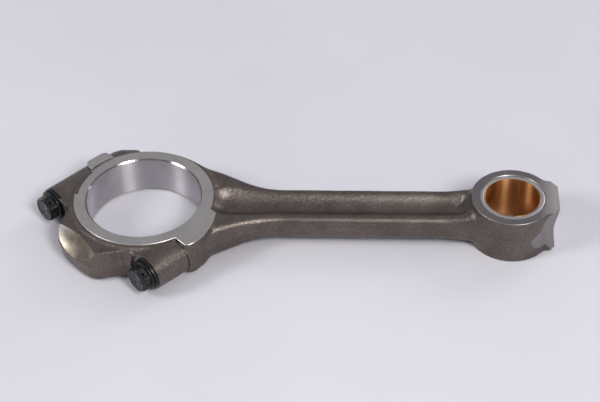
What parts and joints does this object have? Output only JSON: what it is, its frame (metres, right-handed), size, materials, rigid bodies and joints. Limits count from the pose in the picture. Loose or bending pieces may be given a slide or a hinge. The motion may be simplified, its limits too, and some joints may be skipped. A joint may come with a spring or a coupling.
{
  "type": "engine connecting rod",
  "caption": "Engine connecting rod with an obliquely split big end, bolted bearing cap, deep shank channels and a steel-backed bronze bush in the small end.",
  "frame": {"origin": "centre of the bounding box at its lowest plane, which is the lower face of the small end", "axes": "+X along the shank from the big end to the small end, +Z along both bores, +Y to the side of the bolt called far"},
  "size_m": [0.38, 0.1442, 0.036],
  "materials": {
    "forged_steel": "forged and shot-peened brown-grey skin, ground and bored faces bright",
    "bush_steel": "turned",
    "bush_bronze": "finely bored bearing bronze",
    "black_oxide_steel": "black oxide"
  },
  "bodies": {
    "rod": {"rod_body": "forged_steel", "small_end_bush_backing": "bush_steel", "small_end_bush_lining": "bush_bronze"},
    "cap": {"bearing_cap": "forged_steel"},
    "washer_near": {"bolt_washer_near": "black_oxide_steel"},
    "bolt_near": {"cap_bolt_near": "black_oxide_steel"},
    "washer_far": {"bolt_washer_far": "black_oxide_steel"},
    "bolt_far": {"cap_bolt_far": "black_oxide_steel"}
  },
  "joints": [
    {"name": "cap_lift_off", "type": "slide", "parent": "rod", "child": "cap", "axis": [-0.7071, -0.7071, 0], "range_m": [0, 0.08]},
    {"name": "washer_near_out", "type": "slide", "parent": "cap", "child": "washer_near", "axis": [-0.7071, -0.7071, 0], "range_m": [0, 0.0225]},
    {"name": "bolt_near_turn", "type": "hinge", "parent": "washer_near", "child": "bolt_near", "pos_m": [-0.07281, -0.03101, 0.018], "axis": [-0.7071, -0.7071, 0], "range_deg": [0, 5400]},
    {"name": "washer_far_out", "type": "slide", "parent": "cap", "child": "washer_far", "axis": [-0.7071, -0.7071, 0], "range_m": [0, 0.0195]},
    {"name": "bolt_far_turn", "type": "hinge", "parent": "washer_far", "child": "bolt_far", "pos_m": [-0.14692, 0.0431, 0.018], "axis": [-0.7071, -0.7071, 0], "range_deg": [0, 4680]}
  ],
  "couplings": [
    {"joint": "bolt_near_turn", "follows": "washer_near_out", "rad_per_m": 4188.8},
    {"joint": "bolt_far_turn", "follows": "washer_far_out", "rad_per_m": 4188.8}
  ]
}
